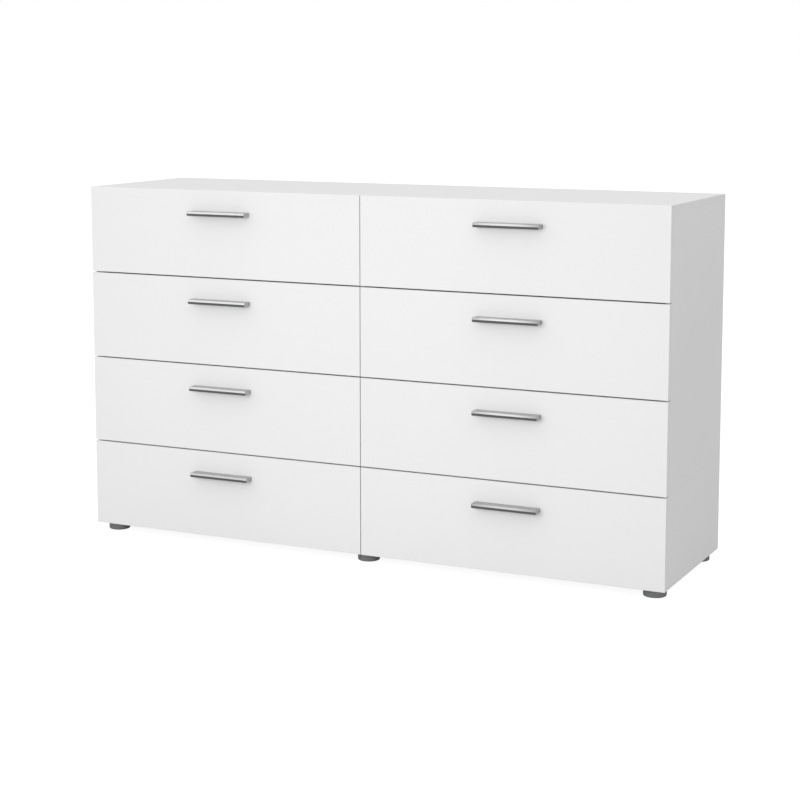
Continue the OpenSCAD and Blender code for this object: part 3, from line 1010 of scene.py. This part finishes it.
def drawer(side, row, master):
    """All the pieces of one drawer."""
    name = f"{side}_drawer_{row}"
    drop = row_drop(row)
    move = (COLUMN_STEP if side == "right" else 0, 0, drop)
    mirror = None if side == "left" else 0
    front_move = (0, 0, drop)
    placed(copied(master["front"], f"{name}_front_board", front_move, mirror),
           name, "white_board", f"{name}_front")
    placed(copied(master["handle"], f"{name}_ledge_handle", front_move, mirror),
           name, "handle_metal", f"{name}_handle")
    placed(copied(master["handle_screws"], f"{name}_handle_screws", front_move, mirror),
           name, "zinc")
    for part, piece in master["boards"].items():
        placed(copied(piece, f"{name}_box_{part}", move), name,
               "hardboard" if part == "bottom_sheet" else "drawer_board", f"{name}_box")
    placed(copied(master["fittings"], f"{name}_box_fittings", move), name, "zinc")
    placed(both_sides([master["rail"]], f"{name}_rails", move), name, "runner_steel",
           f"{name}_runners")
    placed(both_sides([master["rail_screws"]], f"{name}_rail_screws", move), name, "zinc")
    placed(both_sides([master["cabinet_roller"]], f"{name}_front_rollers", move),
           f"{name}_cabinet_rollers", "roller_nylon", f"{name}_cabinet_rollers")
    placed(both_sides([master["box_roller"]], f"{name}_rear_rollers", move),
           f"{name}_box_rollers", "roller_nylon", f"{name}_box_rollers")


def cabinet_rails(side, master):
    """The cabinet's rails of one column, with their screws."""
    shift = COLUMN_STEP if side == "right" else 0
    rails = [both_sides([master["cabinet_rail"]], "rails", (shift, 0, row_drop(row)))
             for row in ROWS]
    placed(joined(f"{side}_cabinet_rails", *rails), "carcass", "runner_steel",
           f"{side}_cabinet_runners")
    screws = [both_sides([master["cabinet_screws"]], "screws", (shift, 0, row_drop(row)))
              for row in ROWS]
    placed(joined(f"{side}_cabinet_rail_screws", *screws), "carcass", "zinc")


def everything(master):
    for value in master.values():
        yield from value.values() if isinstance(value, dict) else [value]


carcass_boards()
cam_locks()
back_sheets()
round_feet()
buffers()
patterns = masters()
for column in COLUMNS:
    cabinet_rails(column, patterns)
    for row in ROWS:
        drawer(column, row, patterns)
for spare in list(everything(patterns)):
    bpy.data.objects.remove(spare)


# ---------------------------------------------------------------- studio

ROOM_LIGHT = 0.88
CAMERA_TURN, CAMERA_TILT = math.radians(25.548), math.radians(7.143)
CAMERA_DISTANCE = 4.048
CAMERA_AIM = Vector((0.0981, FRONT_Y, 0.602))
CAMERA_LENS, CAMERA_SHIFT = 83.38, -0.125


def studio_floor():
    """A pale floor that the camera sees as plain white, and metal sees as a dark card."""
    only()
    bpy.ops.mesh.primitive_plane_add(size=60, location=(0, 0, 0))
    floor = settled("studio_floor")
    paint = Finish("pale_floor", Roughness=0.9)
    paint.shader.inputs["Base Color"].default_value = (0.63, 0.63, 0.63, 1)
    mottle = paint.noise(2.0, 2.0)
    seen = paint.add("ShaderNodeEmission", None, {"Color": (1, 1, 1, 1), "Strength": 0.91})
    soft = paint.add("ShaderNodeBsdfDiffuse", None,
                     {"Color": paint.mix(mottle, (0.24, 0.24, 0.24), (0.26, 0.26, 0.26))})
    white = paint.add("ShaderNodeAddShader", None, {0: seen, 1: soft})
    dark = paint.add("ShaderNodeEmission", None, {"Color": (1, 1, 1, 1), "Strength": 0.23})
    camera_ray = paint.add("ShaderNodeLightPath", output="Is Camera Ray")
    bounced = paint.add("ShaderNodeLightPath", output="Diffuse Depth") > 0.5
    glossy_ray = paint.add("ShaderNodeLightPath", output="Is Glossy Ray") * (1 - bounced)
    plain = Wire(paint, paint.shader.outputs[0])
    other = paint.add("ShaderNodeMixShader", None, {0: glossy_ray, 1: plain, 2: dark})
    final = paint.add("ShaderNodeMixShader", None, {0: camera_ray, 1: other, 2: white})
    paint.tree.links.new(final.socket, paint.tree.nodes["Material Output"].inputs["Surface"])
    covered(floor, paint.material)


def studio_world(ambient):
    """An even pale room; the camera sees it white."""
    world = bpy.data.worlds.new("studio")
    world.use_nodes = True
    bpy.context.scene.world = world
    nodes, links = world.node_tree.nodes, world.node_tree.links
    nodes.clear()
    room, white = (nodes.new("ShaderNodeBackground") for _ in range(2))
    room.inputs["Strength"].default_value = ambient
    room.inputs["Color"].default_value = white.inputs["Color"].default_value = (1, 1, 1, 1)
    white.inputs["Strength"].default_value = 1.0
    path, choice = nodes.new("ShaderNodeLightPath"), nodes.new("ShaderNodeMixShader")
    links.new(path.outputs["Is Camera Ray"], choice.inputs[0])
    links.new(room.outputs[0], choice.inputs[1])
    links.new(white.outputs[0], choice.inputs[2])
    links.new(choice.outputs[0], nodes.new("ShaderNodeOutputWorld").inputs["Surface"])


def soft_box(name, place, aim, size, power, only_on=None):
    """A soft light at a place, aimed at a point. It gives plain surfaces their light and has
    no reflection, or it falls only on the pieces whose names end in certain words."""
    bpy.ops.object.light_add(type="AREA", location=place)
    light = bpy.context.active_object
    light.name = name
    light.data.shape = "RECTANGLE"
    light.data.size, light.data.size_y = size
    light.data.energy = power
    light.visible_camera = False
    light.visible_glossy = bool(only_on)
    light.rotation_euler = (Vector(aim) - Vector(place)).to_track_quat("-Z", "Y").to_euler()
    if only_on:
        lit = bpy.data.collections.new(name)
        for piece in bpy.data.objects:
            if piece.name.endswith(only_on):
                lit.objects.link(piece)
        light.light_linking.receiver_collection = lit


def studio_camera():
    turn, tilt = CAMERA_TURN, CAMERA_TILT
    ahead = Vector((-math.sin(turn) * math.cos(tilt), math.cos(turn) * math.cos(tilt),
                    -math.sin(tilt)))
    bpy.ops.object.camera_add(location=CAMERA_AIM - ahead * CAMERA_DISTANCE,
                              rotation=(math.pi / 2 - tilt, 0, turn))
    camera = bpy.context.active_object
    camera.name = "studio_camera"
    camera.data.sensor_width = 36
    camera.data.lens = CAMERA_LENS
    camera.data.shift_y = CAMERA_SHIFT
    camera.data.clip_end = 200
    bpy.context.scene.camera = camera


studio_floor()
studio_world(ROOM_LIGHT)
soft_box("key", place=(0.0, -2.5, 0.95), aim=(0, 0, 0.6), size=(1.2, 1.0), power=18)
soft_box("handle_strip", place=(-1.6, -3.9, 1.95), aim=(-0.8, -0.2, 0.5), size=(4.4, 1.8),
         power=44, only_on="_ledge_handle")
studio_camera()
bpy.context.scene.view_settings.view_transform = "Standard"
